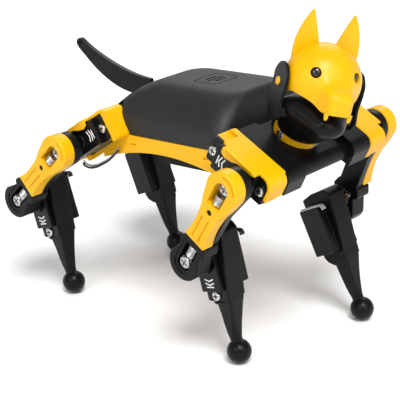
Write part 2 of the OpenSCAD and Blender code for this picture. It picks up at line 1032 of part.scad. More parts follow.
// ---------- the parts ----------

body_frame();
back_cover();
chest_cover();
controller_board();
battery_pack();
battery_button();
battery_lead();
servo_leads();
neck_servo();
torso_screws();
tail();
neck_bracket();
head_jaw();
head_mask();
eyes();
head_screws();
for (leg = LEGS) {
    at_hip_servo(leg) hip_servo();
    at_thigh(leg) hip_arm();
    at_thigh(leg) hip_spring();
    at_thigh(leg) thigh_cover();
    at_thigh(leg) thigh_frame();
    at_thigh(leg) knee_arm();
    at_thigh(leg) knee_spring();
    at_shank(leg) shank();
    at_shank(leg) knee_servo();
    at_shank(leg) knee_lead();
    at_shank(leg) leg_screws();
}
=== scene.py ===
import math

import bmesh
import bpy
from mathutils import Matrix, Vector


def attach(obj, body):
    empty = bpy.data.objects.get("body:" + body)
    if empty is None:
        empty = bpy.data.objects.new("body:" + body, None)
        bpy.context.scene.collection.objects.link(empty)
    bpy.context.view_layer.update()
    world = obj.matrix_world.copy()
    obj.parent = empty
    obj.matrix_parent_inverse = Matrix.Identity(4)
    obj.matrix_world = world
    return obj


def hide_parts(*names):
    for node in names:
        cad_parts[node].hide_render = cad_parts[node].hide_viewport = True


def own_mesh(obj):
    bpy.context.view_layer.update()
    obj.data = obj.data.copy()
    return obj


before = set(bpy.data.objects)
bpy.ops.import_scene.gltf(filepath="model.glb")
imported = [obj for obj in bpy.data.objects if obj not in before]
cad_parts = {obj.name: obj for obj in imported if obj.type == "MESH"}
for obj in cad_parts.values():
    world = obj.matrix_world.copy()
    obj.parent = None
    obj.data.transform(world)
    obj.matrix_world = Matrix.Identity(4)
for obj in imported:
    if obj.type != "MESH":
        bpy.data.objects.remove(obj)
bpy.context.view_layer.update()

# ---------- frames ----------

MM = Matrix.Scale(0.001, 4)
FLIP_X = Matrix.Scale(-1, 4, (1, 0, 0))
FLIP_Y = Matrix.Scale(-1, 4, (0, 1, 0))
FRONT, REAR, RIGHT, LEFT = 1, -1, -1, 1
ORIGIN_X, HIP_HEIGHT, PITCH = 5.6, 88.8, 4.2
HIP_BASE, SERVO_TILT = 105.0, 30.0
THIGH_LEN, SHANK_LEN, FOOT_R = 46.6, 48.9, 5.7

# Distances from the torso's middle plane, outward along a servo's shaft
CASE_IN, CASE_OUT = 24.4, 43.0
EAR_IN, EAR_OUT = 38.0, 40.2
POST_OUT = 37.9
RAIL_IN, RAIL_OUT = 29.4, 32.0
STRIP_IN, STRIP_OUT = 29.7, 41.0
FRAME_IN, FRAME_OUT = 46.0, 50.3
COVER_IN, THIGH_FACE, KNEE_FACE = 50.4, 57.0, 55.5
BEAM_IN, BEAM_OUT = 29.5, 40.5
SPLINE_OUT = 48.4
# Lengths along a servo, from its shaft
CASE_NEAR, CASE_FAR, HALF_WIDTH = 5.05, 17.95, 6.0
EAR_NEAR, EAR_FAR, EAR_MARGIN = 7.7, 20.6, 2.65
POST_END = EAR_FAR + EAR_MARGIN
CASE_GAP = 0.3
# Thigh
CAP_R, SLOT_R, HIP_SLOT_END, KNEE_SLOT_TOP = 8.4, 3.6, 9.5, 10.6
THIGH_HOLE_Z = -13.2
# Head
HEAD_TILT, HEAD_PAN = 22, 33
CHEEK_X, CHEEK_Z, PIN_R = 9.6, 22, 1.9
EYE_X, EYE_Y, EYE_Z = 24.3, 9.15, 30.7
# End, side, the thigh's lean in the photo's pose, and the joints' name
LEGS = {
    "fr": (FRONT, RIGHT, 31.0, "front_right"),
    "fl": (FRONT, LEFT, 20.0, "front_left"),
    "rr": (REAR, RIGHT, 45.0, "rear_right"),
    "rl": (REAR, LEFT, 42.0, "rear_left"),
}


def turn(axis, degrees):
    return Matrix.Rotation(math.radians(degrees), 4, axis)


def move(x, y, z):
    return Matrix.Translation((x, y, z))


TORSO = move(ORIGIN_X, 0, HIP_HEIGHT) @ turn("Y", -PITCH)
NECK = TORSO @ move(48, 0, 11.5) @ turn("Y", SERVO_TILT)
PANNED = NECK @ turn("Z", -HEAD_PAN)
HEAD = PANNED @ turn("Y", -HEAD_TILT)


def pod_frame(end):
    """A right-hand servo's frame within the torso."""
    return (FLIP_X if end == FRONT else Matrix()) @ move(-HIP_BASE / 2, 0, 0) @ turn("Y", -SERVO_TILT)


def servo_frame(end, side):
    """A hip servo's frame: origin on the shaft in the torso's middle plane, X along the case."""
    return TORSO @ (FLIP_Y if side == LEFT else Matrix()) @ pod_frame(end)


def thigh_frame(end, side, lean):
    """Origin on the hip axis, Z up the thigh."""
    hip = TORSO @ Vector((end * HIP_BASE / 2, 0, 0))
    return Matrix.Translation(hip) @ (FLIP_Y if side == LEFT else Matrix()) @ turn("Y", lean)


def shank_frame(end, side, lean):
    """Origin on the knee axis, turned so that the foot's ball just meets the ground."""
    hip = TORSO @ Vector((end * HIP_BASE / 2, 0, 0))
    knee_z = hip.z - THIGH_LEN * math.cos(math.radians(lean))
    forward = math.degrees(math.acos((knee_z - FOOT_R) / SHANK_LEN))
    return thigh_frame(end, side, lean) @ move(0, 0, -THIGH_LEN) @ turn("Y", -lean - forward)


# ---------- materials ----------

def nodes_of(name):
    """A new material with its node tree and its shader."""
    material = bpy.data.materials.new(name)
    material.use_nodes = True
    tree = material.node_tree
    return material, tree, tree.nodes["Principled BSDF"]


def noise_node(tree, scale, detail=3.0, rough=0.55):
    coords = tree.nodes.new("ShaderNodeTexCoord")
    node = tree.nodes.new("ShaderNodeTexNoise")
    node.inputs["Scale"].default_value = scale
    node.inputs["Detail"].default_value = detail
    node.inputs["Roughness"].default_value = rough
    tree.links.new(coords.outputs["Object"], node.inputs["Vector"])
    return node


def ramp(tree, source, stops):
    node = tree.nodes.new("ShaderNodeValToRGB")
    node.color_ramp.elements[0].position = stops[0][0]
    node.color_ramp.elements[0].color = (*stops[0][1], 1)
    node.color_ramp.elements[1].position = stops[-1][0]
    node.color_ramp.elements[1].color = (*stops[-1][1], 1)
    for position, colour in stops[1:-1]:
        node.color_ramp.elements.new(position).color = (*colour, 1)
    tree.links.new(source, node.inputs["Fac"])
    return node


def plastic(name, dark, light, rough, grain=0.3, grain_scale=2600, coat=0.0, sub=0.0, gleam=0.5):
    """Moulded plastic: soft mottling, uneven gloss and a fine eroded-tool grain."""
    material, tree, shader = nodes_of(name)
    mottle = noise_node(tree, 55, 4.0)
    colour = ramp(tree, mottle.outputs["Fac"], [(0.3, dark), (0.7, light)])
    tree.links.new(colour.outputs["Color"], shader.inputs["Base Color"])
    gloss = noise_node(tree, 320, 5.0, 0.6)
    spread = tree.nodes.new("ShaderNodeMapRange")
    spread.inputs["To Min"].default_value = rough[0]
    spread.inputs["To Max"].default_value = rough[1]
    tree.links.new(gloss.outputs["Fac"], spread.inputs["Value"])
    tree.links.new(spread.outputs["Result"], shader.inputs["Roughness"])
    fine = noise_node(tree, grain_scale, 2.0, 0.5)
    bump = tree.nodes.new("ShaderNodeBump")
    bump.inputs["Strength"].default_value = grain
    bump.inputs["Distance"].default_value = 0.00004
    tree.links.new(fine.outputs["Fac"], bump.inputs["Height"])
    tree.links.new(bump.outputs["Normal"], shader.inputs["Normal"])
    shader.inputs["Specular IOR Level"].default_value = gleam
    shader.inputs["Coat Weight"].default_value = coat
    shader.inputs["Coat Roughness"].default_value = 0.15
    shader.inputs["Subsurface Weight"].default_value = sub
    shader.inputs["Subsurface Radius"].default_value = (0.0016, 0.0007, 0.0001)
    shader.inputs["Subsurface Scale"].default_value = 1.0
    return material


def metal(name, dark, light, rough):
    """Turned or drawn metal with fine directional streaks."""
    stretch = (1, 1, 14)
    material, tree, shader = nodes_of(name)
    coords = tree.nodes.new("ShaderNodeTexCoord")
    mapping = tree.nodes.new("ShaderNodeMapping")
    mapping.inputs["Scale"].default_value = stretch
    tree.links.new(coords.outputs["Object"], mapping.inputs["Vector"])
    streak = tree.nodes.new("ShaderNodeTexNoise")
    streak.inputs["Scale"].default_value = 900
    streak.inputs["Detail"].default_value = 4
    tree.links.new(mapping.outputs["Vector"], streak.inputs["Vector"])
    colour = ramp(tree, streak.outputs["Fac"], [(0.3, dark), (0.7, light)])
    tree.links.new(colour.outputs["Color"], shader.inputs["Base Color"])
    spread = tree.nodes.new("ShaderNodeMapRange")
    spread.inputs["To Min"].default_value = rough[0]
    spread.inputs["To Max"].default_value = rough[1]
    tree.links.new(streak.outputs["Fac"], spread.inputs["Value"])
    tree.links.new(spread.outputs["Result"], shader.inputs["Roughness"])
    bump = tree.nodes.new("ShaderNodeBump")
    bump.inputs["Strength"].default_value = 0.15
    bump.inputs["Distance"].default_value = 0.00003
    tree.links.new(streak.outputs["Fac"], bump.inputs["Height"])
    tree.links.new(bump.outputs["Normal"], shader.inputs["Normal"])
    shader.inputs["Metallic"].default_value = 1.0
    return material


YELLOW = plastic("yellow_plastic", (0.80, 0.41, 0.0), (0.88, 0.47, 0.0), (0.28, 0.42), 0.25,
                 sub=0.03, gleam=0.28)
BLACK = plastic("black_plastic", (0.003, 0.0032, 0.0035), (0.006, 0.006, 0.0065), (0.25, 0.4), 0.35,
                gleam=0.15)
COVER = plastic("cover_black", (0.013, 0.014, 0.014), (0.019, 0.020, 0.020), (0.44, 0.56), 0.8, 3400,
                gleam=0.32)
SERVO = plastic("servo_black", (0.003, 0.0032, 0.0035), (0.006, 0.006, 0.0065), (0.2, 0.34), 0.2,
                gleam=0.22)
WHITE = plastic("mark_white", (0.78, 0.78, 0.76), (0.9, 0.9, 0.88), (0.4, 0.55), 0.2)
BUTTON = plastic("button_grey", (0.5, 0.5, 0.5), (0.6, 0.6, 0.6), (0.35, 0.5), 0.3)
CIRCUIT = plastic("circuit_green", (0.01, 0.10, 0.04), (0.02, 0.15, 0.06), (0.25, 0.4), 0.3, coat=0.4)
RED_LEAD = plastic("lead_red", (0.12, 0.008, 0.008), (0.2, 0.015, 0.012), (0.35, 0.5), 0.2)
BLACK_LEAD = plastic("lead_black", (0.012, 0.012, 0.013), (0.022, 0.022, 0.023), (0.3, 0.45), 0.2)
# Grey wire colour; on the front-left knee ribbon it is a painted highlight, standing in for the sheen on
# black wires
GREY_AND_SHEEN_LEAD = plastic("lead_grey", (0.36, 0.37, 0.38), (0.5, 0.5, 0.5), (0.4, 0.55), 0.3)
EYE = plastic("eye_black", (0.004, 0.004, 0.006), (0.008, 0.008, 0.012), (0.05, 0.12), 0.02, coat=0.6)
STEEL = metal("screw_steel", (0.5, 0.49, 0.47), (0.72, 0.71, 0.69), (0.18, 0.34))
ARM = metal("arm_metal", (0.42, 0.42, 0.42), (0.62, 0.61, 0.6), (0.22, 0.4))
SPRING = metal("spring_steel", (0.5, 0.49, 0.48), (0.75, 0.74, 0.72), (0.16, 0.3))


# ---------- drawing ----------

def as_object(bm):
    bmesh.ops.recalc_face_normals(bm, faces=bm.faces)
    mesh = bpy.data.meshes.new("draft")
    bm.to_mesh(mesh)
    bm.free()
    obj = bpy.data.objects.new("draft", mesh)
    bpy.context.scene.collection.objects.link(obj)
    return obj


def drop(obj):
    mesh = obj.data
    bpy.data.objects.remove(obj)
    if mesh.users == 0:
        bpy.data.meshes.remove(mesh)


def bake(obj):
    """Makes the object's modifiers part of its mesh."""
    graph = bpy.context.evaluated_depsgraph_get()
    mesh = bpy.data.meshes.new_from_object(obj.evaluated_get(graph))
    old = obj.data
    obj.modifiers.clear()
    obj.data = mesh
    bpy.data.meshes.remove(old)
    return obj


def boolean(obj, tools, how):
    for tool in tools:
        modifier = obj.modifiers.new("bool", "BOOLEAN")
        modifier.operation = how
        modifier.solver = "EXACT"
        modifier.object = tool
    bake(obj)
    for tool in tools:
        drop(tool)
    return obj


def cut(obj, *tools):
    return boolean(obj, tools, "DIFFERENCE")


def fuse(obj, *tools):
    return boolean(obj, tools, "UNION")


def soften(obj, width, segments=3, angle=32):
    """Rounds every edge sharper than the angle."""
    modifier = obj.modifiers.new("bevel", "BEVEL")
    modifier.width = width
    modifier.segments = segments
    modifier.limit_method = "ANGLE"
    modifier.angle_limit = math.radians(angle)
    modifier.use_clamp_overlap = True
    modifier.miter_outer = "MITER_ARC"
    return bake(obj)


def turned(obj, matrix):
    obj.data.transform(matrix)
    if matrix.determinant() < 0:
        obj.data.flip_normals()
    return obj


def fillet(points, steps=5):
    """A closed outline whose corners (x, z, radius) are rounded."""
    out = []
    n = len(points)
    for i in range(n):
        x, z, r = points[i]
        p = Vector((x, z))
        a = (Vector(points[i - 1][:2]) - p)
        b = (Vector(points[(i + 1) % n][:2]) - p)
        if r <= 0:
            out.append((x, z))
            continue
        half = a.angle(b) / 2
        reach = min(r / math.tan(half), a.length * 0.49, b.length * 0.49)
        r = reach * math.tan(half)
        centre = p + (a.normalized() + b.normalized()).normalized() * (r / math.sin(half))
        start = p + a.normalized() * reach - centre
        whole_turn = start.angle_signed(p + b.normalized() * reach - centre)
        for k in range(steps + 1):
            t = -whole_turn * k / steps
            out.append((centre.x + start.x * math.cos(t) - start.y * math.sin(t),
                        centre.y + start.x * math.sin(t) + start.y * math.cos(t)))
    return out


def arc(cx, cz, r, start, end, steps):
    return [(cx + r * math.cos(math.radians(start + (end - start) * i / steps)),
             cz + r * math.sin(math.radians(start + (end - start) * i / steps))) for i in range(steps + 1)]


def ring_corners(cx, cz, r, start, end, steps):
    """An arc as sharp corners for fillet."""
    return [(x, z, 0) for x, z in arc(cx, cz, r, start, end, steps)]


def rounded(x0, x1, z0, z1, r, steps):
    """A rectangle with round corners."""
    return fillet([(x0, z0, r), (x1, z0, r), (x1, z1, r), (x0, z1, r)], steps)


def curve(points, per):
    """A smooth open outline through (x, z) points."""
    return [(v.x, v.y) for v in smooth_path([(x, z, 0) for x, z in points], per)]


def slab(outline, y0, y1):
    """An X-Z outline as a solid between two distances from the middle, on the right-hand side."""
    bm = bmesh.new()
    near = [bm.verts.new((x, -y0, z)) for x, z in outline]
    far = [bm.verts.new((x, -y1, z)) for x, z in outline]
    bm.faces.new(near)
    bm.faces.new(far)
    for i in range(len(near)):
        k = (i + 1) % len(near)
        bm.faces.new((near[i], near[k], far[k], far[i]))
    return as_object(bm)


def block(x0, x1, y0, y1, z0, z1):
    return slab([(x0, z0), (x1, z0), (x1, z1), (x0, z1)], y0, y1)


def rod(x, z, r, y0, y1, steps=48):
    return slab([(x + r * math.cos(2 * math.pi * i / steps), z + r * math.sin(2 * math.pi * i / steps))
                 for i in range(steps)], y0, y1)


def lathe(profile, steps=48):
    """A closed solid turned about Z from (radius, z) points that start and end on the axis."""
    bm = bmesh.new()
    rings = []
    for r, z in profile:
        if r < 1e-6:
            rings.append([bm.verts.new((0, 0, z))])
        else:
            rings.append([bm.verts.new((r * math.cos(2 * math.pi * i / steps),
                                        r * math.sin(2 * math.pi * i / steps), z)) for i in range(steps)])
    for a, b in zip(rings, rings[1:]):
        for i in range(steps):
            k = (i + 1) % steps
            ring = [a[i % len(a)], a[k % len(a)], b[k % len(b)], b[i % len(b)]]
            face = [v for n, v in enumerate(ring) if v not in ring[:n]]
            if len(face) > 2:
                bm.faces.new(face)
    return as_object(bm)


def loft(sections):
    """A closed solid through sections with the same number of points."""
    bm = bmesh.new()
    rings = [[bm.verts.new(p) for p in s] for s in sections]
    n = len(rings[0])
    for a, b in zip(rings, rings[1:]):
        for i in range(n):
            k = (i + 1) % n
            bm.faces.new((a[i], a[k], b[k], b[i]))
    bm.faces.new(rings[0])
    bm.faces.new(rings[-1])
    return as_object(bm)


def sweep(points, r, sides=10):
    """A round tube along points."""
    points = [Vector(p) for p in points]
    sections = []
    normal = Vector((0, 0, 1))
    for i, p in enumerate(points):
        along = (points[min(i + 1, len(points) - 1)] - points[max(i - 1, 0)]).normalized()
        normal = (normal - along * normal.dot(along)).normalized()
        across = along.cross(normal)
        sections.append([p + r * (math.cos(2 * math.pi * k / sides) * normal
                                  + math.sin(2 * math.pi * k / sides) * across) for k in range(sides)])
    return loft(sections)


def smooth_path(points, per=6):
    """Catmull-Rom curve through points."""
    pts = [Vector(p) for p in points]
    pts = [pts[0] * 2 - pts[1]] + pts + [pts[-1] * 2 - pts[-2]]
    out = []
    for i in range(1, len(pts) - 2):
        for k in range(per):
            t = k / per
            a, b, c, d = pts[i - 1:i + 3]
            out.append(0.5 * (2 * b + (c - a) * t + (2 * a - 5 * b + 4 * c - d) * t ** 2
                              + (3 * b - 3 * c + d - a) * t ** 3))
    return out + [pts[-2]]


def ball_profile(r, steps):
    """Half a circle for lathe."""
    inner = [(r * math.sin(math.pi * i / steps), r * math.cos(math.pi * i / steps)) for i in range(1, steps)]
    return [(0, r)] + inner + [(0, -r)]


def flat_on_top(outline, z0, z1):
    """An X-Y outline as a solid between two heights."""
    return turned(slab(outline, -z1, -z0), turn("X", 90))


def copies(obj):
    twin = bpy.data.objects.new("draft", obj.data.copy())
    bpy.context.scene.collection.objects.link(twin)
    return twin


def both_sides(obj):
    twin = turned(copies(obj), FLIP_Y)
    return gather(obj, twin)


def gather(*parts):
    """Several separate closed solids as one mesh."""
    bm = bmesh.new()
    for part in parts:
        bm.from_mesh(part.data)
        drop(part)
    mesh = bpy.data.meshes.new("draft")
    bm.to_mesh(mesh)
    bm.free()
    obj = bpy.data.objects.new("draft", mesh)
    bpy.context.scene.collection.objects.link(obj)
    return obj


def place(obj, name, where, body, material, node=None, flat=35, keep=False):
    """Puts a finished drawing into the scene as a named piece; the slot is the material's own name."""
    piece = copies(obj) if keep else obj
    turned(piece, where)
    piece.data.transform(MM)
    piece.name = name
    piece.data.name = name
    piece.data.materials.clear()
    piece.data.materials.append(material)
    for polygon in piece.data.polygons:
        polygon.use_smooth = True
    piece.data.set_sharp_from_angle(angle=math.radians(flat))
    weighted = piece.modifiers.new("weighted", "WEIGHTED_NORMAL")
    weighted.keep_sharp = True
    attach(piece, body)
    if node:
        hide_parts(node)
    return piece


def along_y(obj):
    """Turns a lathe about Z into one about the servo shafts, outward."""
    return turned(obj, turn("X", 90))


# ---------- small hardware ----------

def screw(r, face, head):
    """Domed cross-head screw whose head ends at face."""
    body = lathe([
        (0, face - head - 0.4), (r * 0.55, face - head - 0.4), (r * 0.55, face - head),
        (r * 0.94, face - head), (r, face - head * 0.85), (r, face - head * 0.5),
        (r * 0.93, face - head * 0.24), (r * 0.75, face - head * 0.08), (r * 0.4, face), (0, face),
    ], 32)
    arm, half, deep = r * 0.66, r * 0.15, r * 0.5
    for wide, tall in ((arm, half), (half, arm)):
        slot = block(-wide, wide, -deep, deep + 1, -tall, tall)
        body = cut(body, turned(slot, move(0, 0, face) @ turn("X", 90)))
    return along_y(body)


def coil(z0, z1, turns, y, r, wire):
    """A spring with closed ends between two heights."""
    steps = int(turns * 20)
    points = []
    for i in range(steps + 1):
        t = i / steps
        rise = t - 0.035 * math.sin(2 * math.pi * t)
        angle = 2 * math.pi * turns * t
        height = z0 + wire + (z1 - z0 - 2 * wire) * rise
        points.append((r * math.cos(angle), r * math.sin(angle) - y, height))
    return sweep(points, wire, 8)


def chevrons(face):
    """Generic printed mark: two chevrons over a bar, raised by a hair."""
    parts = []
    for shift in (-0.9, 0.9):
        x = 13.2 + shift
        outline = [(x - 0.8, -2.6), (x - 0.1, -2.6), (x + 0.9, 0), (x - 0.1, 2.6), (x - 0.8, 2.6),
                   (x + 0.2, 0)]
        parts.append(slab(outline, face - 0.1, face + 0.05))
    parts.append(block(15.3, 15.9, face - 0.1, face + 0.05, -2.2, 2.2))
    return gather(*parts)


def servo_shape():
    """Micro servo: case in three mouldings, ears, gear tower and idler."""
    split_low, split_high = 28.7, 39.6
    mouldings = ((CASE_IN, split_low, 0.45), (split_low - 0.05, split_high, 0.35),
                 (split_high - 0.05, CASE_OUT, 0.5))
    case = gather(*[soften(block(-CASE_NEAR, CASE_FAR, y0, y1, -HALF_WIDTH, HALF_WIDTH), round_off)
                    for y0, y1, round_off in mouldings])
    ears = slab(rounded(-EAR_NEAR - EAR_MARGIN, POST_END, -HALF_WIDTH, HALF_WIDTH, 1, 4), EAR_IN, EAR_OUT)
    for x, tip in ((-EAR_NEAR, -12), (EAR_FAR, 25)):
        ears = cut(ears, block(min(x, tip), max(x, tip), 37, 41, -0.6, 0.6), rod(x, 0, 1.3, 37, 41, 20))
    ears = soften(ears, 0.3, 2)
    tower = soften(rod(0, 0, 5.9, 42, 44.8), 0.5)
    idler = soften(rod(6.4, 0, 2.9, 42, 44.5), 0.4)
    spline = soften(rod(0, 0, 2.4, 44, 48.3, 21), 0.15)
    return gather(case, ears, tower, idler, spline)


# ---------- legs ----------

def hip_slot(corner):
    """Outline of the slot that the hip arm slides down."""
    return fillet([(-SLOT_R, -HIP_SLOT_END, corner), (SLOT_R, -HIP_SLOT_END, corner), (SLOT_R, 1.2, 0)]
                  + ring_corners(0, 0, SLOT_R, 18, 162, 20) + [(-SLOT_R, 1.2, 0)], 4)


def knee_slot(r, top, corner):
    """Outline of the slot that the knee arm slides up, or of the rim round it."""
    low = -1.2 - THIGH_LEN
    return fillet([(r, top - THIGH_LEN, corner), (-r, top - THIGH_LEN, corner), (-r, low, 0)]
                  + ring_corners(0, -THIGH_LEN, r, 198, 342, 20) + [(r, low, 0)], 4)


def thigh_cover_shape():
    """Yellow cover with the hip slot, a round hole, two long slits and an arc groove."""
    side = curve(((-8.1, -2.4), (-6.9, -8), (-5.3, -14), (-4.7, -21), (-5.1, -27), (-6.1, -31.5)), 5)
    outline = arc(0, 0, CAP_R, -14, 194, 44) + side + [(-x, z) for x, z in reversed(side)]
    cover = soften(slab(outline, COVER_IN, THIGH_FACE), 1.15, 4, 50)
    cover = cut(cover, slab(hip_slot(1.1), 49, 58), rod(0, THIGH_HOLE_Z, 1.4, 49, 58, 24))
    for x in (-1.9, 1.9):
        cover = cut(cover, slab(rounded(x - 0.45, x + 0.45, -29.6, -17, 0.4, 3), THIGH_FACE - 0.6, 58))
    groove = arc(0, 0, 6.9, 22, 108, 22) + arc(0, 0, 6.2, 108, 22, 22)
    cover = cut(cover, slab(groove, THIGH_FACE - 0.55, 58))
    return soften(cover, 0.2, 2, 50)


def thigh_frame_shape():
    """Black beam with its D-shaped knee end, and the plug behind the cover's hole."""
    plate = arc(0, 0, CAP_R - 0.4, -14, 194, 40) + [(-5.2, -15), (-5.2, -36), (5.2, -36), (5.2, -15)]
    plate = soften(slab(plate, FRAME_IN, FRAME_OUT), 0.5, 3, 50)
    knee = [(-CAP_R, 8.2, 2), (-5.9, 14.6, 1.6), (5.9, 14.6, 1.6), (CAP_R, 8.2, 2)]
    end = fillet([(x, z - THIGH_LEN, r) for x, z, r in knee], 5) + arc(0, -THIGH_LEN, CAP_R, 0, -180, 36)
    end = soften(slab(end, FRAME_IN, KNEE_FACE), 0.8, 3, 50)
    body = fuse(plate, end)
    rim = knee_slot(5.3, KNEE_SLOT_TOP + 1.4, 1.6)
    body = cut(body, slab(hip_slot(1), 45, 52), slab(rim, KNEE_FACE - 0.4, 57))
    body = soften(cut(body, slab(knee_slot(SLOT_R, KNEE_SLOT_TOP, 1), 45, 57)), 0.18, 2, 50)
    return gather(body, rod(0, THIGH_HOLE_Z, 1.36, FRAME_OUT - 0.1, THIGH_FACE - 0.6, 24))


def arm_shape():
    """Servo horn: a turned boss with a groove and its screw."""
    boss = along_y(lathe([
        (0, 48.5), (2.4, 48.5), (2.4, 45.1), (3.1, 45.1), (3.3, 45.3), (3.3, 49.6), (3.05, 49.8),
        (3.05, 50.4), (3.3, 50.6), (3.3, 53.4), (3.0, 53.8), (0, 53.8),
    ], 40))
    return gather(boss, screw(2.9, 54.9, 1.2))


def shin_section(z, x0, x1, y0, y1, r):
    return [(x, -y, z) for x, y in rounded(x0, x1, y0, y1, r, 5)]


def shank_shape():
    """Bracket round the knee servo, a tapering shin and the ball foot."""
    front, seat = HALF_WIDTH + CASE_GAP, -CASE_FAR - CASE_GAP - 0.1
    outline = fillet([
        (front, 5.4, 0.6), (-6, 5.4, 0.4), (-6, 9.5, 1), (0, 11.2, 2), (9, 11.6, 2), (11.4, 8.5, 2.5),
        (9.7, -5, 20), (7.4, -18, 8), (6.8, -23, 1), (-1.6, -24.8, 1), (-4.8, -22.6, 1), (-6.2, -20, 1),
        (-6.2, seat, 0.4), (front, seat, 0.6),
    ], 5)
    bracket = soften(slab(outline, BEAM_IN, BEAM_OUT), 0.7, 3, 50)
    ear_room = EAR_MARGIN + 0.4
    for z in (-EAR_FAR, EAR_NEAR):
        bracket = cut(bracket, block(-9, front, POST_OUT, 42, z - ear_room, z + ear_room))
    shin = soften(loft([
        shin_section(-21.5, -2.6, 6.9, 30.1, 39.9, 0.8), shin_section(-24.4, -2.0, 6.6, 30.2, 39.8, 0.9),
        shin_section(-25.2, -2.1, 6.3, 30.4, 39.6, 1.0), shin_section(-30.5, -2.5, 4.9, 31.0, 38.6, 1.2),
        shin_section(-35.5, -2.8, 3.7, 31.5, 38.1, 1.5), shin_section(-39.5, -2.9, 3.0, 31.8, 37.8, 2.0),
        shin_section(-42.0, -2.8, 2.8, 32.0, 37.6, 2.6), shin_section(-46.0, -2.7, 2.7, 32.1, 37.5, 2.65),
    ]), 0.2, 2, 60)
    ball = turned(lathe(ball_profile(FOOT_R, 28), 56), move(0, -34.8, -SHANK_LEN))
    return fuse(bracket, shin, ball)


thigh_cover = thigh_cover_shape()
thigh_plate = thigh_frame_shape()
arm = arm_shape()
servo = servo_shape()
mark = chevrons(CASE_OUT)
shank = shank_shape()
ear_screws = gather(*[turned(screw(2.2, 41.5, 1.3), move(x, 0, 0)) for x in (-EAR_NEAR, EAR_FAR)])
COIL_R, WIRE_R, ARM_END = 2.75, 0.45, 3.4
HIP_COIL_OUT, KNEE_COIL_OUT, ANCHOR_OUT = 53.0, 51.8, 52
HIP_FIXED, KNEE_FIXED = -HIP_SLOT_END + 0.05, KNEE_SLOT_TOP - 0.05
hip_coil = coil(HIP_FIXED, -ARM_END, 5.5, HIP_COIL_OUT, COIL_R, WIRE_R)
knee_coil = coil(ARM_END, KNEE_FIXED, 6.5, KNEE_COIL_OUT, COIL_R, WIRE_R)
turned(knee_coil, move(0, 0, -THIGH_LEN))
KNEE_TURN = turn("Y", 90)
# Drawing, which end of the thigh, height of its fixed end, and how much length is left when pressed
SPRINGS = (
    (hip_coil, "hip", HIP_FIXED, 0.51),
    (knee_coil, "knee", KNEE_FIXED - THIGH_LEN, 0.58),
)

for tag, (end, side, lean, joint) in LEGS.items():
    at_hip, at_thigh = servo_frame(end, side), thigh_frame(end, side, lean)
    at_knee, at_shank = at_thigh @ move(0, 0, -THIGH_LEN), shank_frame(end, side, lean)
    at_knee_servo = at_shank @ KNEE_TURN
    for drawing, name, where, body, material, node in (
            (servo, "hip_servo_{}_case", at_hip, "torso", SERVO, "hip_servo_{}"),
            (mark, "hip_servo_{}_mark", at_hip, "torso", WHITE, None),
            (arm, "hip_arm_{}_horn", at_thigh, "hip_arm_{}", ARM, "hip_arm_{}"),
            (thigh_cover, "thigh_cover_{}_shell", at_thigh, "thigh_{}", YELLOW, "thigh_cover_{}"),
            (thigh_plate, "thigh_frame_{}_beam", at_thigh, "thigh_{}", BLACK, "thigh_frame_{}"),
            (arm, "knee_arm_{}_horn", at_knee, "knee_arm_{}", ARM, "knee_arm_{}"),
            (shank, "shank_{}_leg", at_shank, "shank_{}", BLACK, "shank_{}"),
            (servo, "knee_servo_{}_case", at_knee_servo, "shank_{}", SERVO, "knee_servo_{}"),
            (mark, "knee_servo_{}_mark", at_knee_servo, "shank_{}", WHITE, None),
            (ear_screws, "leg_screws_{}_pair", at_knee_servo, "shank_{}", STEEL, "leg_screws_{}")):
        place(drawing, name.format(tag), where, body.format(tag), material, node and node.format(tag),
              keep=True)
    for drawing, which, z, keep_share in SPRINGS:
        spring = place(drawing, f"{which}_spring_{tag}_coil", at_thigh, f"thigh_{tag}", SPRING,
                       f"{which}_spring_{tag}", keep=True)
        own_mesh(spring)
for spare in (thigh_cover, thigh_plate, arm, mark, shank, hip_coil, knee_coil):
    drop(spare)

# ---------- torso ----------

STRIP_TOP, NOSE_R, NOSE_X = 8.2, 3.0, -9.4
RAIL_TOP = 6.2


def nose(inset, low, back, r=5.0):
    """Outline of a top that rolls over into a front, in the servo frame."""
    x, z = NOSE_X - NOSE_R + inset + r, STRIP_TOP - inset - r
    return [(x - r, low)] + arc(x, z, r, 180, 90, 14) + [(back, z + r), (back, low)]


def strip_shape(inner_end):
    """Strip over a servo, with the lip that folds down outside it between its ears."""
    wall, top_in, top_out = 1.6, STRIP_TOP - 1.5, STRIP_TOP
    strip = cut(slab(nose(0, -2.2, inner_end), STRIP_IN, STRIP_OUT),
                slab(nose(wall, -3, inner_end + 1, 4.0), STRIP_IN - 0.7, STRIP_OUT + 1))
    lip_rear, lip_front, lip_in, lip_out = -5, 14.8, 43.2, 44.4
    top = flat_on_top(fillet([(lip_front, 40, 0), (lip_front, lip_out, 2.2), (lip_rear, lip_out, 2.2),
                              (lip_rear, 40, 0)], 6), top_in, top_out)
    top = turned(top, FLIP_Y)
    fold = slab(fillet([(lip_rear, 6.8, 0.5), (-3, 6.1, 0.5), (5, 6.1, 1), (8, 4.8, 1), (12, 3.9, 1.5),
                        (lip_front, 5, 1), (lip_front, 8.1, 0), (lip_rear, 8.1, 0)], 3), lip_in, lip_out)
    return soften(fuse(strip, top, fold), 0.45, 3, 50)


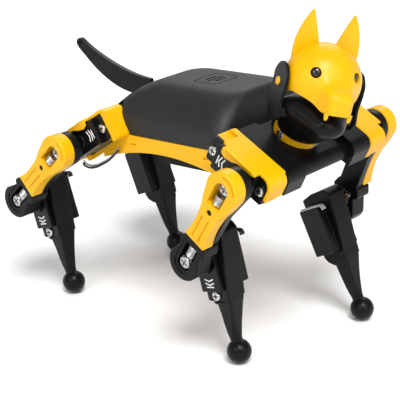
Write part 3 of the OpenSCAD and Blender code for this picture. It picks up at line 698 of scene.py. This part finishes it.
def pod_shape(rear):
    """Wall and posts behind a servo; a rear pod also has a surround round its inner post."""
    end = 26.5 if rear else POST_END
    wall = fillet([(-11.2, -4, 1), (-9, -8, 2), (end, -8, 2.5 if rear else 0.6), (end, 6.2, 1),
                   (end - 2, 8.1, 1), (-9, 8.1, 0.5)], 4)
    posts = ((CASE_FAR + 0.4, POST_END - 0.1), (-EAR_NEAR - EAR_MARGIN, -CASE_NEAR - 0.4))
    parts = [slab(wall, 29.1, RAIL_OUT)]
    parts += [block(x0, x1, RAIL_IN, POST_OUT, -HALF_WIDTH, HALF_WIDTH) for x0, x1 in posts]
    if rear:
        surround = fillet([(POST_END - 0.3, -7.8, 0.6), (end - 0.2, -7.8, 2.5), (end - 0.2, 6.2, 1.5),
                           (end - 2, 8, 1), (POST_END - 0.3, 8, 0.5)], 4)
        parts.append(slab(surround, 30, 40))
    return parts


def side_frame():
    """One side of the torso frame: the arched rail and its two pods."""
    rail_rear, rail_front, steps = -45, 34, 24
    stations = [rail_rear + (rail_front - rail_rear) * i / steps for i in range(steps + 1)]
    arch = [(x, -0.6 - 0.0042 * (x + 5) ** 2) for x in stations]
    outline = [(rail_front, 2), (25, RAIL_TOP), (-31, RAIL_TOP), (rail_rear, -1)] + arch
    parts, strips, windows = [], [], []
    for end in (REAR, FRONT):
        at = pod_frame(end)
        parts += [turned(part, at) for part in pod_shape(end == REAR)]
        strips.append(turned(strip_shape(POST_END + 0.95 if end == REAR else 17.2), at))
        window = block(-CASE_NEAR - CASE_GAP, CASE_FAR + CASE_GAP, 23, 44, -HALF_WIDTH - CASE_GAP,
                       HALF_WIDTH + CASE_GAP)
        windows.append(turned(window, at))
    body = fuse(slab(outline, RAIL_IN, RAIL_OUT), *parts)
    body = soften(cut(body, *windows), 0.5, 3, 50)
    slits = [slab(rounded(x - 1.6, x + 1.6, 1.6, 2.3, 0.3, 2), 31.3, 33) for x in (-24, 21)]
    return fuse(cut(body, *slits), *strips)


place(both_sides(side_frame()), "body_frame_rails", TORSO, "torso", YELLOW, "body_frame")


def deck_shape():
    """Floor with the board's four posts, the tail's post and two stiffening ribs below."""
    rear, front, half, low, high = -44, 30, 31, -0.5, 1.3
    board_x, board_y, rib_y = 24, 17, 22
    deck = block(rear, front, -half, half, low, high)
    for x in (-board_x, board_x):
        for y in (-board_y, board_y):
            board_post = lathe([(0, 0.5), (2.4, 0.5), (2.4, 9), (0.9, 9), (0.9, 5), (0, 5)], 24)
            deck = fuse(deck, turned(board_post, move(x, y, 0)))
    tail_post = cut(block(-46, -38, -4, 4, low, 17.6), block(-48, -39, -1.15, 1.15, 7, 30))
    ribs = [block(rear + 4, front - 4, y - 0.5, y + 0.5, -1.2, 0) for y in (-rib_y, rib_y)]
    return soften(fuse(deck, tail_post, *ribs), 0.35, 2, 50)


place(deck_shape(), "body_frame_deck", TORSO, "torso", YELLOW)


def cover_section(x0, x1, half, r, z):
    return [(x, y, z) for x, y in rounded(x0, x1, -half, half, r, 8)]


# Rear end, front end, half width, corner radius and height of each level
COVER_LEVELS = [
    (-38.0, 31.0, 32.0, 4.0, 6.55), (-38.2, 31.0, 32.0, 4.0, 7.4), (-40.6, 31.0, 31.9, 5.0, 11.6),
    (-41.9, 31.0, 31.4, 6.0, 14.2), (-41.6, 31.0, 30.8, 7.0, 15.8), (-39.6, 30.8, 29.1, 8.0, 18.4),
    (-36.2, 30.3, 26.2, 9.0, 21.8), (-31.8, 29.4, 22.3, 9.5, 24.9), (-28.2, 28.4, 19.2, 9.5, 26.7),
    (-25.4, 27.4, 16.7, 9.0, 27.7), (-22.8, 26.2, 14.4, 8.4, 28.2), (-20.0, 24.6, 11.8, 7.6, 28.42),
    (-16.0, 22.0, 8.8, 6.0, 28.5),
]


def cover_shape():
    """Hollow domed cover with room for the rear pods and the tail's root."""
    wall, rim, top = 1.8, 1.2, 28.5
    outer = loft([cover_section(*level) for level in COVER_LEVELS])
    inner = loft([
        cover_section(x0 + wall, x1 - wall, half - wall, max(r - 1.0, 1), z - (wall if z > 8 else rim))
        for x0, x1, half, r, z in COVER_LEVELS])
    shell = cut(outer, inner)
    pod_room = []
    for flip in (Matrix(), FLIP_Y):
        room = slab(fillet([(-20, -20, 0), (26.7, -20, 0), (26.7, 8.4, 1.2), (-20, 8.4, 0)], 4), 24.1, 52)
        pod_room.append(turned(turned(room, pod_frame(REAR)), flip))
    tail_notch = block(-48, -37.5, -4.6, 4.6, 5, 18)
    shell = soften(cut(shell, tail_notch, *pod_room), 0.3, 2, 60)
    # Plain engraved mark on the top: a rounded frame round three bars
    engraved = top - 0.45
    marks = []
    for x0, x1, half in ((-2.6, -1.4, 3.6), (0.4, 1.6, 5.6), (3.4, 4.6, 3.6)):
        marks.append(flat_on_top(rounded(x0, x1, -half, half, 0.5, 3), engraved, 28.9))
    line = 0.6
    marks.append(cut(*[
        flat_on_top(rounded(-6.4 + t, 8.4 - t, -8.6 + t, 8.6 - t, 3 - t, 6), engraved - t, 28.9 + t)
        for t in (0, line)]))
    return cut(shell, *marks)


place(cover_shape(), "back_cover_shell", TORSO, "torso", COVER, "back_cover", flat=50)


def chest_shape():
    """Front cover: two flanges that follow the pods, a sunk middle and the well for the neck."""
    back, low = 20.5, -2.7
    middle = slab(nose(2.4, 0.4, back), -17.5, 17.5)
    body = fuse(middle, slab(nose(0, low, back), 17, 29), slab(nose(0, low, back), -29, -17))
    body = cut(body, slab(nose(4.2, low - 1, back + 1), -17.1, 17.1),
               slab(nose(1.5, low - 1, back + 1), 18.8, 30), slab(nose(1.5, low - 1, back + 1), -30, -18.8))
    drop_below_strips = 0.3
    body = turned(body, TORSO @ move(0, 0, -drop_below_strips) @ pod_frame(FRONT))
    well = turned(lathe([(0, -9), (11.6, -9), (11.6, 7), (0, 7)], 64), NECK)
    servo_room = turned(block(-6.3, 6.3, -11, 24, -12, -5.8), NECK)
    return soften(cut(body, well, servo_room), 0.45, 3, 50)


place(chest_shape(), "chest_cover_shell", Matrix(), "torso", BLACK, "chest_cover")

battery = slab(fillet([(-22, -6.4, 1.5), (-19, -9.4, 1.5), (21, -9.4, 1.5), (24, -6.4, 1.5), (24, -0.6, 0.4),
                       (-22, -0.6, 0.4)], 4), -20, 20)
BUTTON_AT = move(-12, 0, 0)
button_well = turned(lathe([(0, -11), (2.7, -11), (2.7, -6.2), (0, -6.2)], 32), BUTTON_AT)
battery = soften(cut(battery, button_well), 0.6, 3, 50)
place(battery, "battery_pack_case", TORSO, "torso", BLACK, "battery_pack")
button = lathe([(0, -10.6), (1.7, -10.6), (2.3, -10.4), (2.5, -10.0), (2.5, -7.4), (0, -7.4)], 32)
place(turned(button, BUTTON_AT), "battery_button_cap", TORSO, "power_button", BUTTON, "battery_button")

battery_route = [(-22.05, -12, -4.5), (-24.5, -12.2, -4.8), (-28, -13, -6), (-32, -14.2, -7.2),
                 (-36, -15.6, -7.4), (-40, -17, -6), (-42.6, -17.8, -3.4), (-43, -18, -0.6)]
for shift, material, name in ((0, RED_LEAD, "red"), (2.1, BLACK_LEAD, "black")):
    wire = sweep(smooth_path([(x, y + shift, z) for x, y, z in battery_route]), 0.95, 12)
    place(wire, f"battery_lead_{name}", TORSO, "torso", material, "battery_lead")

servo_route = [(-55.6, -36.2, -10.2), (-55, -36, -11.6), (-52, -35.6, -12.4), (-48, -35.2, -11.6),
               (-44, -34.8, -9.8), (-40, -34.4, -7.6), (-36.6, -34, -5), (-34.4, -33.5, -2.8),
               (-33, -33, -1.4)]
for shift, material, name in ((-0.35, BLACK_LEAD, "black"), (0.4, GREY_AND_SHEEN_LEAD, "grey")):
    lead = sweep(smooth_path([(x, y + shift, z + shift * 1.2) for x, y, z in servo_route]), 0.5, 10)
    place(both_sides(lead), f"servo_leads_{name}", TORSO, "torso", material, "servo_leads")

NECK_SPLINE_TOP = -0.7
at_neck_servo = NECK @ move(0, 0, NECK_SPLINE_TOP - SPLINE_OUT) @ turn("Z", 90) @ turn("X", -90)
place(servo, "neck_servo_case", at_neck_servo, "torso", SERVO, "neck_servo")

screws = [turned(copies(ear_screws), servo_frame(end, side)) for end, side, _, _ in LEGS.values()]
drop(ear_screws)
place(gather(*screws), "torso_screws_set", Matrix(), "torso", STEEL, "torso_screws")


def tail_shape():
    """Flat blade that follows a curve from its root plate to the ring at its tip."""
    root, bend, tip = Vector((-41, 19.6)), Vector((-66, 18.5)), Vector((-89.6, 37.2))
    upper, lower = [], []
    for i in range(33):
        t = i / 32
        at = (1 - t) ** 2 * root + 2 * t * (1 - t) * bend + t * t * tip
        along = ((1 - t) * (bend - root) + t * (tip - bend)).normalized()
        half = 4.2 + 1.1 * math.sin(math.pi * min(t / 0.9, 1)) - 1.6 * t ** 3
        side_way = Vector((-along.y, along.x)) * half
        upper.append(tuple(at + side_way))
        lower.append(tuple(at - side_way))
    blade = slab(upper + lower[::-1], -1.1, 1.1)
    blade = fuse(blade, rod(tip.x, tip.y, 2.5, -1.1, 1.1, 32), block(-45.6, -39.2, -1.1, 1.1, 7.2, 22.6))
    return soften(cut(blade, rod(tip.x, tip.y, 1.2, -2, 2, 24)), 0.45, 3, 50)


place(tail_shape(), "tail_blade", TORSO, "torso", BLACK, "tail")
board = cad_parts["controller_board"]
board.data.materials.clear()
board.data.materials.append(CIRCUIT)

# ---------- head ----------


def smooth_least(a, b, k):
    """The lesser of two distances, blended where they differ by less than k."""
    h = max(k - abs(a - b), 0) / k
    return min(a, b) - h * h * k / 4


def ellipsoid(p, centre, radii):
    """About how far p is outside an ellipsoid."""
    q = [(p[i] - centre[i]) / radii[i] for i in range(3)]
    k0 = math.sqrt(sum(c * c for c in q))
    k1 = math.sqrt(sum((q[i] / radii[i]) ** 2 for i in range(3))) or 1e-6
    return k0 * (k0 - 1) / k1


def mix(a, b, t):
    return a + (b - a) * t


def mask_field(p):
    """Skull with cheeks that flow into a squared snout."""
    x, y, z = p
    skull = ellipsoid(p, (13, 0, 25.5), (16, 16.8, 16))
    cheeks = ellipsoid(p, (18.5, 0, 24.5), (6.3, 12.6, 12))
    t = min(max((x - 18) / 19.4, 0), 1)
    half = mix(11.5, 5.0, t ** 0.85)
    low, high = mix(11, 15.2, t), mix(33.5, 25.1, t ** 0.8)
    r = mix(5, 2.4, t)
    q = (x - (37.4 - r), abs(y) - (half - r), abs(z - (low + high) / 2) - ((high - low) / 2 - r))
    outside = math.sqrt(sum(max(c, 0) ** 2 for c in q))
    snout = (outside + min(max(q), 0) - r) * 0.9
    return smooth_least(smooth_least(skull, cheeks, 3), snout, 3.5)


def hull_of(points):
    """The tight skin round a cloud of points."""
    bm = bmesh.new()
    for point in points:
        bm.verts.new(point)
    made = bmesh.ops.convex_hull(bm, input=bm.verts)
    inside = set(made["geom_interior"] + made["geom_unused"])
    bmesh.ops.delete(bm, geom=[v for v in inside if isinstance(v, bmesh.types.BMVert)], context="VERTS")
    bmesh.ops.dissolve_limit(bm, angle_limit=math.radians(0.6), verts=bm.verts, edges=bm.edges)
    return as_object(bm)


def ball_points(centre, radii, rings=24, around=48):
    """Points all over an ellipsoid."""
    out = []
    for i in range(rings + 1):
        a = math.pi * i / rings
        for k in range(around if 0 < i < rings else 1):
            b = 2 * math.pi * k / around
            way = (math.sin(a) * math.cos(b), math.sin(a) * math.sin(b), math.cos(a))
            out.append(tuple(centre[n] + radii[n] * way[n] for n in range(3)))
    return out


def star(field, centre, offset=0.0, rings=64, segments=96):
    """A smooth closed surface where field + offset is zero, seen whole from centre."""
    reach, halvings = 34, 18
    bm = bmesh.new()
    grid = []
    for i in range(rings + 1):
        polar = math.pi * i / rings
        row = []
        for k in range(1 if i in (0, rings) else segments):
            around = 2 * math.pi * k / segments
            d = Vector((math.sin(polar) * math.cos(around), math.sin(polar) * math.sin(around),
                        math.cos(polar)))
            near, far = 0.0, reach
            for _ in range(halvings):
                half = (near + far) / 2
                if field(centre + d * half) + offset < 0:
                    near = half
                else:
                    far = half
            row.append(bm.verts.new(centre + d * near))
        grid.append(row)
    for a, b in zip(grid, grid[1:]):
        for k in range(segments):
            n = (k + 1) % segments
            ring = [a[k % len(a)], b[k % len(b)], b[n % len(b)], a[n % len(a)]]
            face = [v for j, v in enumerate(ring) if v not in ring[:j]]
            bm.faces.new(face)
    return as_object(bm)


def ear_shape():
    """Right ear: a tall pointed shell, hollow in front, whose outer edge bows outward."""
    # Height, outer and inner edge from the middle plane, and depth front to back
    levels = [(30, 13.0, 2.0, 6.5), (33, 14.9, 2.2, 6.2), (37, 15.2, 3.0, 5.4), (41.4, 14.9, 4.2, 4.4),
              (45.5, 13.9, 5.7, 3.4), (48.5, 12.8, 6.9, 2.6), (51.3, 11.5, 8.1, 1.8), (53.2, 10.5, 8.9, 1.2),
              (54.0, 10.0, 9.3, 0.7)]
    plane, lip = 9.2, 0.35
    sections = []
    for z, outer, inner, deep in levels:
        mid, half = (outer + inner) / 2, (outer - inner) / 2
        points = []
        for i in range(13):
            a = math.pi * i / 12
            points.append((plane - deep * 0.55 * math.sin(a) ** 0.8, -(mid - half * math.cos(a)), z))
        for i in range(1, 12):
            a = math.pi * (12 - i) / 12
            front = plane + deep * 0.10 * math.sin(a) - deep * 0.16 * math.sin(a) ** 4 + lip
            points.append((front, -(mid - half * math.cos(a)), z))
        sections.append(points)
    return loft(sections)


def mask_shape():
    """Hollow mask with its ears, eye openings and wavy lower edge, its fangs and its cheek pivots."""
    centre, wall = Vector((15, 0, 24.5)), 1.6
    mask = fuse(star(mask_field, centre), ear_shape(), turned(ear_shape(), FLIP_Y))
    hollow = star(mask_field, centre, wall, 40, 60)
    edge = curve(((12.4, 20.8), (14.2, 19.4), (17, 20.3), (21, 20.1), (25, 19.0), (29, 17.4), (32, 16.4),
                  (36, 16.5), (45, 16.5)), 4)
    below = slab([(-10, 24), (12.2, 24)] + edge + [(45, -20), (-10, -20)], -30, 30)
    behind = block(-20, 3, -30, 30, 0, 60)
    holes = [turned(lathe([(0, -6), (2.3, -6), (2.3, 6), (0, 6)], 32),
                    move(EYE_X, y * EYE_Y, EYE_Z) @ turn("Z", y * 20) @ turn("Y", 80)) for y in (-1, 1)]
    parts = [cut(mask, hollow, below, behind, *holes)]
    for y in (-1, 1):
        flip = FLIP_Y if y > 0 else Matrix()
        fang = lathe([(0, 13.7), (0.5, 13.9), (0.85, 14.6), (1.15, 17.2), (0, 17.4)], 16)
        parts.append(turned(fang, move(35.1, y * 5.2, 0)))
        pin = along_y(lathe([(0, 13.4), (PIN_R, 13.4), (PIN_R, 18.6), (1.5, 19.0), (0, 19.0)], 32))
        parts.append(turned(turned(pin, move(CHEEK_X, 0, CHEEK_Z)), flip))
        boss = fillet([(CHEEK_X - 3.4, CHEEK_Z, 0.5), (CHEEK_X - 2, 19.4, 1), (CHEEK_X + 2, 19.4, 1),
                       (CHEEK_X + 3.4, CHEEK_Z, 0.5), (CHEEK_X + 3.4, 27, 0.5), (CHEEK_X - 3.4, 27, 0.5)], 3)
        parts.append(turned(soften(slab(boss, 13.2, 16.8), 0.3), flip))
    return gather(*parts)


place(mask_shape(), "head_mask_shell", HEAD, "mask", YELLOW, "head_mask", flat=38)
eyes = gather(*[turned(lathe(ball_profile(3.4, 20), 40), move(21.6, y * 7.6, 30.1)) for y in (-1, 1)])
place(eyes, "eyes_pair", HEAD, "mask", EYE, "eyes")


def jaw_shape():
    """Rounded jaw cup on a round base, with the two flat cheek arms that carry the mask's pivots."""
    base_low, base_high, base_x, base_r = 1.0, 2.5, 2, 10.4
    tilt = turn("Y", HEAD_TILT)
    base = [tilt @ Vector((x, y, z)) for x, y in arc(base_x, 0, base_r, 0, 360 - 5.625, 63)
            for z in (base_low, base_high)]
    cup = hull_of(
        ball_points((14, 0, 12.2), (11, 15.6, 7.9)) + ball_points((27, 0, 9.2), (6.4, 8, 5.1)) + base
        + ball_points((12, 14.6, 13.6), (2.2, 2.2, 2.2), 10, 20)
        + ball_points((12, -14.6, 13.6), (2.2, 2.2, 2.2), 10, 20))
    arms, holes = [], []
    for flip in (Matrix(), FLIP_Y):
        strap = fillet([(3.3, 23, 4), (2.9, 15, 3), (3.6, 9.8, 3), (7, 5.6, 2), (13, 5.0, 3), (18, 8, 3),
                        (16.4, 14.5, 6), (17.7, 21, 5), (17.7, 26, 5), (14.5, 30, 5), (10.5, 31, 4),
                        (6.3, 29.6, 5), (3.3, 26, 4)], 5)
        foot = fillet([(4.6, 12.4, 1), (6.0, 8.2, 2), (10, 6.3, 2), (16, 7.6, 2), (16.4, 12.4, 1)], 4)
        arms.append(turned(soften(slab(strap, 17.0, 18.4), 0.4, 3, 50), flip))
        arms.append(turned(soften(slab(foot, 13, 18.2), 0.6), flip))
        holes.append(turned(rod(CHEEK_X, CHEEK_Z, PIN_R + 0.08, 14, 21, 32), flip))
    below = turned(block(-40, 40, -40, 40, 1.5 - 40, 1.5), tilt)
    return cut(fuse(cup, *arms), below, *holes)


place(jaw_shape(), "head_jaw_cup", HEAD, "head", BLACK, "head_jaw", flat=38)
bracket = lathe([(0, 1.4), (9.9, 1.4), (10.2, 1.1), (10.2, -3.6), (9.8, -4), (2.45, -4), (2.45, -0.4),
                 (0, -0.4)], 64)
place(bracket, "neck_bracket_ring", PANNED, "head", YELLOW, "neck_bracket")
neck_screws = gather(*[turned(screw(2, 11.2, 1), turn("Z", a + 90) @ move(0, 0, -1.1)) for a in (-64, 64)])
place(neck_screws, "head_screws_pair", PANNED, "head", STEEL, "head_screws")

# Leads of the knee servos: three wires side by side, folded over the top of each case; the front-left ribbon
# is coloured grey as a painted highlight, standing in for the sheen on its black wires
lead_route = ((-4.4, 5.6), (0, 5.65), (4, 5.65), (7.4, 5.6), (8.5, 5.1), (9.0, 4.2), (9.05, 3.2))
strands = gather(*[sweep(smooth_path([(x, y, z) for x, z in lead_route], 4), 0.45, 8)
                   for y in (-24.2, -25.2, -26.2)])
for tag, (end, side, lean, _) in LEGS.items():
    place(strands, f"knee_lead_{tag}_ribbon", shank_frame(end, side, lean), f"shank_{tag}",
          GREY_AND_SHEEN_LEAD if tag == "fl" else BLACK_LEAD, f"knee_lead_{tag}", keep=True)
drop(strands)

# ---------- stage, camera and light ----------


def sheet(name, size, z, colour, rough):
    """A flat ground that belongs to the stage."""
    bm = bmesh.new()
    bmesh.ops.create_grid(bm, x_segments=8, y_segments=8, size=size)
    mesh = bpy.data.meshes.new(name)
    bm.to_mesh(mesh)
    bm.free()
    obj = bpy.data.objects.new(name, mesh)
    bpy.context.scene.collection.objects.link(obj)
    obj.location.z = z
    material, _, shader = nodes_of(name)
    shader.inputs["Base Color"].default_value = (*colour, 1)
    shader.inputs["Roughness"].default_value = rough
    shader.inputs["Specular IOR Level"].default_value = 0.1
    mesh.materials.append(material)


sheet("floor", 6.0, 0.0, (0.93, 0.93, 0.93), 0.9)


MIDDLE = (0.01, 0, 0.075)


def aim(obj, target):
    obj.rotation_mode = "QUATERNION"
    obj.rotation_quaternion = (Vector(target) - obj.location).to_track_quat("-Z", "Y")


def softbox(name, place_at, size, power):
    """A rectangular lamp that faces the middle of the dog."""
    light = bpy.data.lights.new(name, "AREA")
    light.shape = "RECTANGLE"
    light.size, light.size_y = size
    light.energy = power
    obj = bpy.data.objects.new(name, light)
    bpy.context.scene.collection.objects.link(obj)
    obj.location = place_at
    aim(obj, MIDDLE)


sun = bpy.data.lights.new("sun", "SUN")
sun.energy = 2.5
sun.angle = math.radians(24)
sun_object = bpy.data.objects.new("sun", sun)
bpy.context.scene.collection.objects.link(sun_object)
sun_object.location = (0.5, -0.35, 1.0)
aim(sun_object, (0, 0, 0))
softbox("key", (0.05, -0.7, 0.5), (0.5, 0.35), 1.6)
softbox("front", (0.8, -0.1, 0.5), (0.3, 0.5), 1.6)
softbox("back", (-0.35, 0.6, 0.6), (0.6, 0.3), 1.8)

world = bpy.data.worlds.new("studio")
bpy.context.scene.world = world
world.use_nodes = True
# Even dim light from above, and white round the horizon so that low views meet no dark edge
sky = world.node_tree
direction = sky.nodes.new("ShaderNodeTexCoord")
height = sky.nodes.new("ShaderNodeSeparateXYZ")
sky.links.new(direction.outputs["Generated"], height.inputs["Vector"])
dome = ramp(sky, height.outputs["Z"], [(0.10, (0.94, 0.94, 0.94)), (0.24, (0.30, 0.30, 0.30))])
sky.links.new(dome.outputs["Color"], sky.nodes["Background"].inputs["Color"])
sky.nodes["Background"].inputs["Strength"].default_value = 1.0

AZIMUTH, ELEVATION, ROLL = (math.radians(v) for v in (43.29, 22.21, -1.47))
back_way = Vector((math.sin(AZIMUTH) * math.cos(ELEVATION), -math.cos(AZIMUTH) * math.cos(ELEVATION),
                   math.sin(ELEVATION)))
right_way = Vector((math.cos(AZIMUTH), math.sin(AZIMUTH), 0))
up_way = back_way.cross(right_way)
aim_right, aim_up, distance = -0.00939, 0.00643, 0.59517
centre = Vector((0.0056, 0, 0.0507)) + right_way * aim_right + up_way * aim_up
camera_data = bpy.data.cameras.new("camera")
camera_data.sensor_width = 36
camera_data.lens = 112.0
camera_data.clip_start = 0.02
camera = bpy.data.objects.new("camera", camera_data)
bpy.context.scene.collection.objects.link(camera)
rolled_right = right_way * math.cos(ROLL) + up_way * math.sin(ROLL)
rolled_up = up_way * math.cos(ROLL) - right_way * math.sin(ROLL)
facing = Matrix((rolled_right, rolled_up, back_way)).transposed().to_4x4()
camera.matrix_world = Matrix.Translation(centre + back_way * distance) @ facing
bpy.context.scene.camera = camera
bpy.context.scene.view_settings.view_transform = "Standard"
